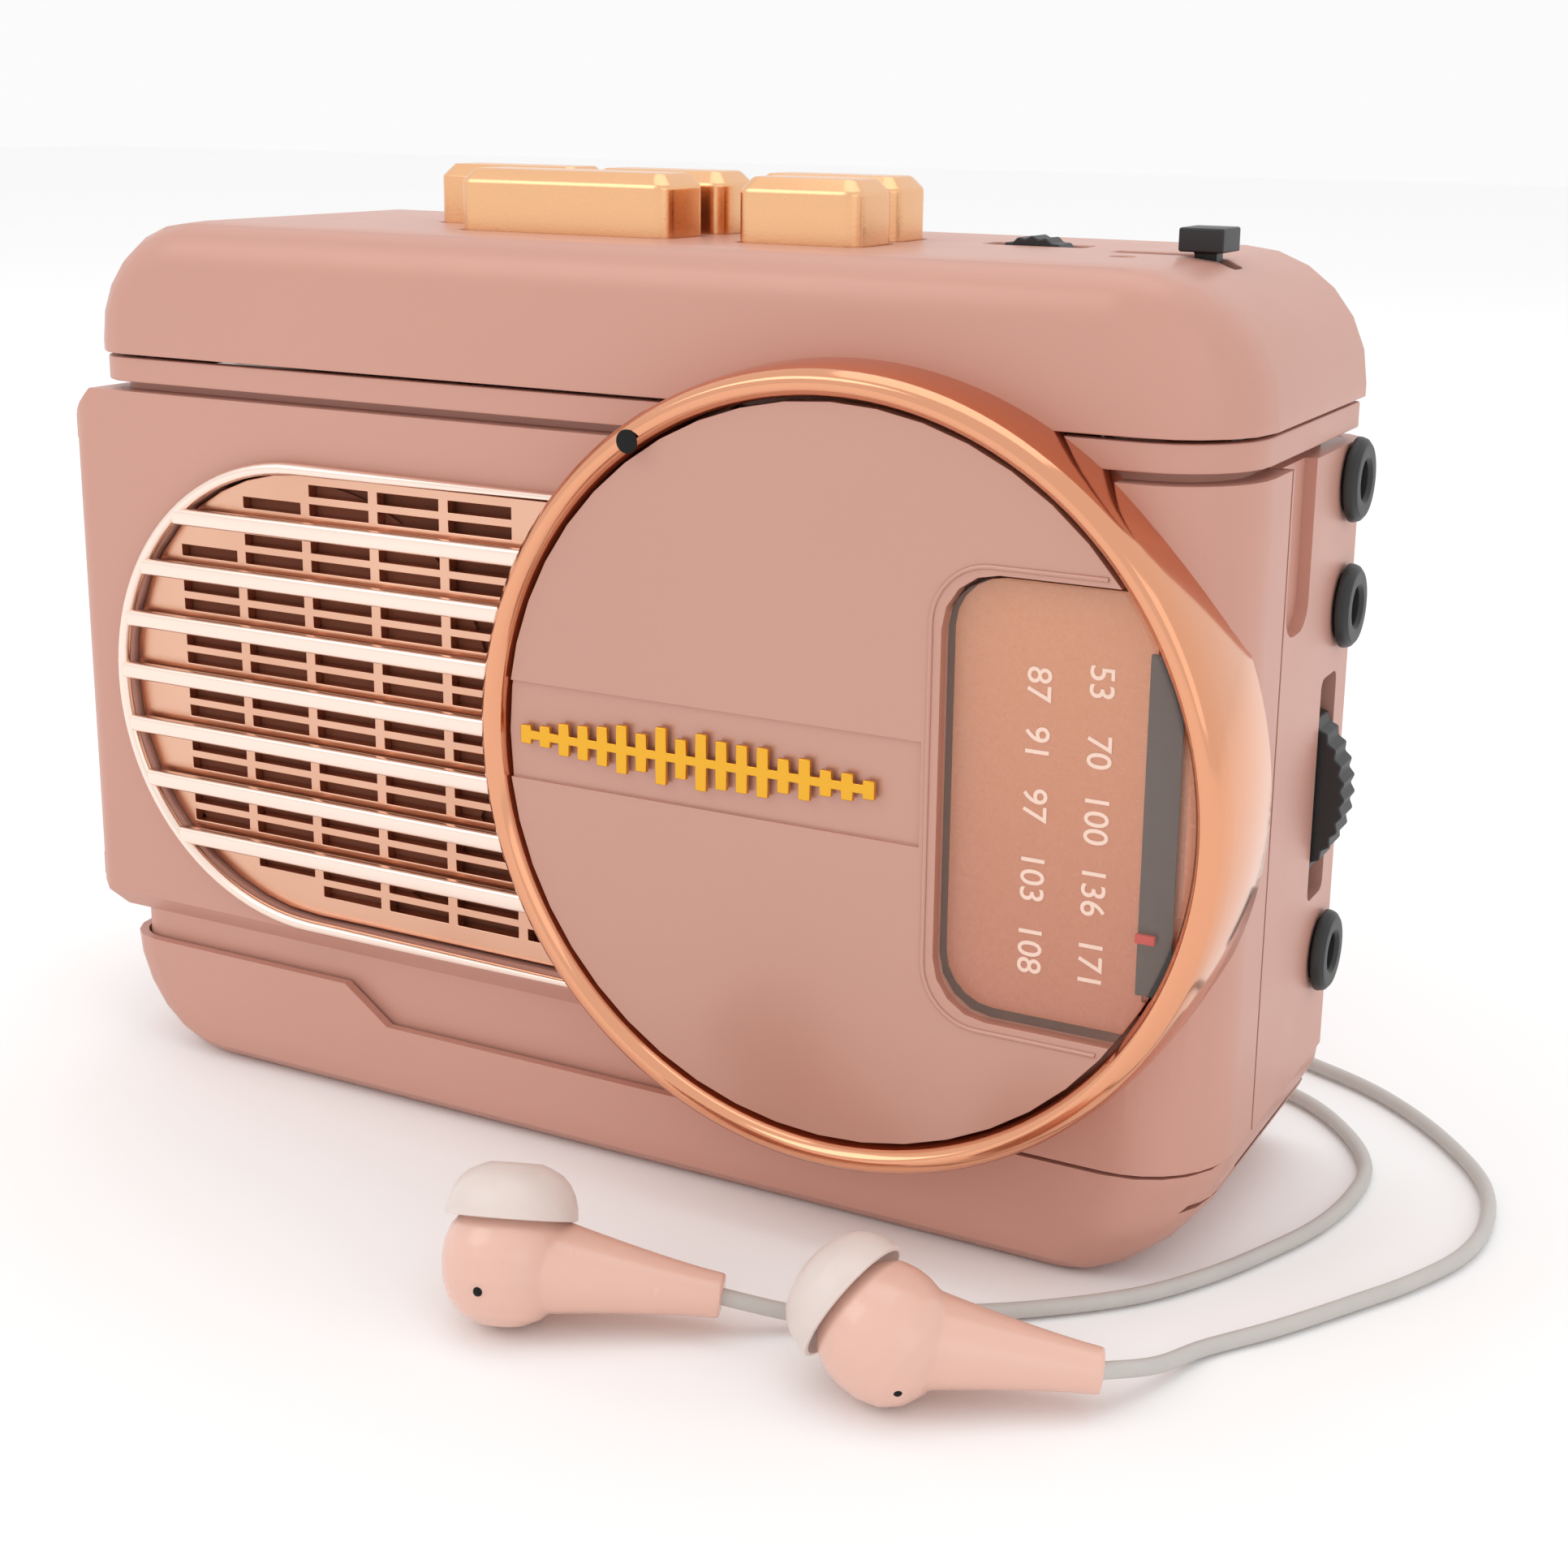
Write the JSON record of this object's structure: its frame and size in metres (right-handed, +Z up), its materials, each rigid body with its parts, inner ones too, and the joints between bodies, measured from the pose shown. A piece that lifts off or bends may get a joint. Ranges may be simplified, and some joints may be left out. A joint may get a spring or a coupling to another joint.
{
  "type": "personal cassette player",
  "caption": "Upright personal cassette player with radio dial, speaker grille, top keys, rear cassette door and wired earphones.",
  "frame": {"origin": "centre of the player's box, on the surface that it stands on, without the earphones", "axes": "+X to the right and +Y away from someone who faces the dial, +Z up"},
  "size_m": [0.1438, 0.1339, 0.0936],
  "materials": {
    "shell": "rose gold, satin",
    "trim": "pink-gold bright plating",
    "trim_deep": "pink-gold plating, recessed",
    "ring": "copper chrome",
    "disc": "rose satin",
    "key": "plated copper-gold, satin",
    "black": "moulded",
    "steel": "bright",
    "brass": "turned",
    "rubber": "matte",
    "smoked": "clear, tinted",
    "amber": "clear, tinted",
    "print": "printed",
    "red": "moulded",
    "gold": "bright plating",
    "board": "solder mask",
    "ferrite": "sintered",
    "milky": "translucent",
    "cone": "pressed paper",
    "peach": "semi-gloss",
    "silicone": "translucent",
    "lead": "satin"
  },
  "bodies": {
    "player": {"front_panel": "shell", "rear_shell": "shell", "top_cap": "shell", "cap_band": "shell", "base_shell": "shell", "battery_tray": "black", "battery_spring": "steel", "hinge_pin": "steel", "deck_plate": "steel", "drive_bridge": "steel", "drive_belt": "rubber", "motor": "steel", "grille_frame": "trim", "grille_lattice": "trim_deep", "speaker_basket": "black", "speaker_cone": "cone", "dial_ring": "ring", "power_lamp": "black", "dial_disc": "disc", "dial_lens": "amber", "dial_scale": "print", "emblem": "gold", "tuning_capacitor": "milky", "volume_control": "steel", "microphone": "black", "jack_phones": "black", "jack_line_out": "black", "jack_mic": "black", "circuit_board": "board", "antenna_rod": "ferrite", "earbud_left": "peach", "earbud_right": "peach", "ear_tip_left": "silicone", "ear_tip_right": "silicone", "lead_left": "lead", "lead_right": "lead", "lead_splitter": "lead", "main_lead": "lead", "lead_coil": "lead", "plug": "lead"},
    "play_key": {"play_key": "key"},
    "eject_key": {"eject_key": "key"},
    "record_key": {"record_key": "key"},
    "rewind_key": {"rewind_key": "key"},
    "forward_key": {"forward_key": "key"},
    "volume_wheel": {"volume_wheel": "black"},
    "tuning_wheel": {"tuning_wheel": "black"},
    "tuning_pointer": {"tuning_pointer": "red"},
    "band_switch": {"band_switch": "black"},
    "cassette_door": {"cassette_door": "shell", "door_window": "smoked"},
    "battery_door": {"battery_door": "shell"},
    "head_plate": {"head_plate": "steel", "playback_head": "steel", "erase_head": "black"},
    "pinch_roller": {"pinch_roller": "rubber"},
    "flywheel": {"flywheel": "steel"},
    "motor_pulley": {"motor_pulley": "brass"},
    "supply_spindle": {"supply_spindle": "black"},
    "takeup_spindle": {"takeup_spindle": "black"}
  },
  "joints": [
    {"name": "play_press", "type": "slide", "parent": "player", "child": "play_key", "axis": [0, 0, -1], "range_m": [0, 0.003], "stiffness_N_per_m": 200, "springref_m": -0.003},
    {"name": "eject_press", "type": "slide", "parent": "player", "child": "eject_key", "axis": [0, 0, -1], "range_m": [0, 0.003], "stiffness_N_per_m": 200, "springref_m": -0.0005},
    {"name": "record_press", "type": "slide", "parent": "player", "child": "record_key", "axis": [0, 0, -1], "range_m": [0, 0.003], "stiffness_N_per_m": 200, "springref_m": -0.0005},
    {"name": "rewind_press", "type": "slide", "parent": "player", "child": "rewind_key", "axis": [0, 0, -1], "range_m": [0, 0.003], "stiffness_N_per_m": 200, "springref_m": -0.0005},
    {"name": "forward_press", "type": "slide", "parent": "player", "child": "forward_key", "axis": [0, 0, -1], "range_m": [0, 0.003], "stiffness_N_per_m": 200, "springref_m": -0.0005},
    {"name": "head_lift", "type": "slide", "parent": "player", "child": "head_plate", "axis": [0, 0, -1], "range_m": [0, 0.0081]},
    {"name": "pinch_spin", "type": "hinge", "parent": "head_plate", "child": "pinch_roller", "pos_m": [0.01655, 0.01355, 0.07875], "axis": [0, 1, 0], "continuous": true},
    {"name": "volume_turn", "type": "hinge", "parent": "player", "child": "volume_wheel", "pos_m": [0.03325, 0.00815, 0.0835], "axis": [0, 1, 0], "range_deg": [-135, 135]},
    {"name": "tuning_turn", "type": "hinge", "parent": "player", "child": "tuning_wheel", "pos_m": [0.05325, 0.01445, 0.0386], "axis": [0, -1, 0], "range_deg": [-39, 231]},
    {"name": "pointer_travel", "type": "slide", "parent": "player", "child": "tuning_pointer", "axis": [0, 0, 1], "range_m": [-0.0035, 0.0206]},
    {"name": "band_slide", "type": "slide", "parent": "player", "child": "band_switch", "axis": [1, 0, 0], "range_m": [-0.006, 0]},
    {"name": "cassette_door_swing", "type": "hinge", "parent": "player", "child": "cassette_door", "pos_m": [-0.00995, 0.01935, 0.0116], "axis": [-1, 0, 0], "range_deg": [0, 80]},
    {"name": "battery_door_slide", "type": "slide", "parent": "player", "child": "battery_door", "axis": [-1, 0, 0], "range_m": [0, 0.086]},
    {"name": "flywheel_spin", "type": "hinge", "parent": "player", "child": "flywheel", "pos_m": [0.01655, 0.00035, 0.0645], "axis": [0, 1, 0], "continuous": true},
    {"name": "motor_spin", "type": "hinge", "parent": "player", "child": "motor_pulley", "pos_m": [0.04065, 0.00035, 0.058], "axis": [0, 1, 0], "continuous": true},
    {"name": "takeup_spin", "type": "hinge", "parent": "player", "child": "takeup_spindle", "pos_m": [0.0113, 0.00695, 0.0386], "axis": [0, 1, 0], "continuous": true},
    {"name": "supply_spin", "type": "hinge", "parent": "player", "child": "supply_spindle", "pos_m": [-0.0312, 0.00695, 0.0386], "axis": [0, 1, 0], "continuous": true}
  ],
  "couplings": [
    {"joint": "head_lift", "follows": "play_press", "ratio": 2.6667},
    {"joint": "pointer_travel", "follows": "tuning_turn", "m_per_rad": 0.005093},
    {"joint": "motor_spin", "follows": "flywheel_spin", "ratio": 4.08}
  ]
}
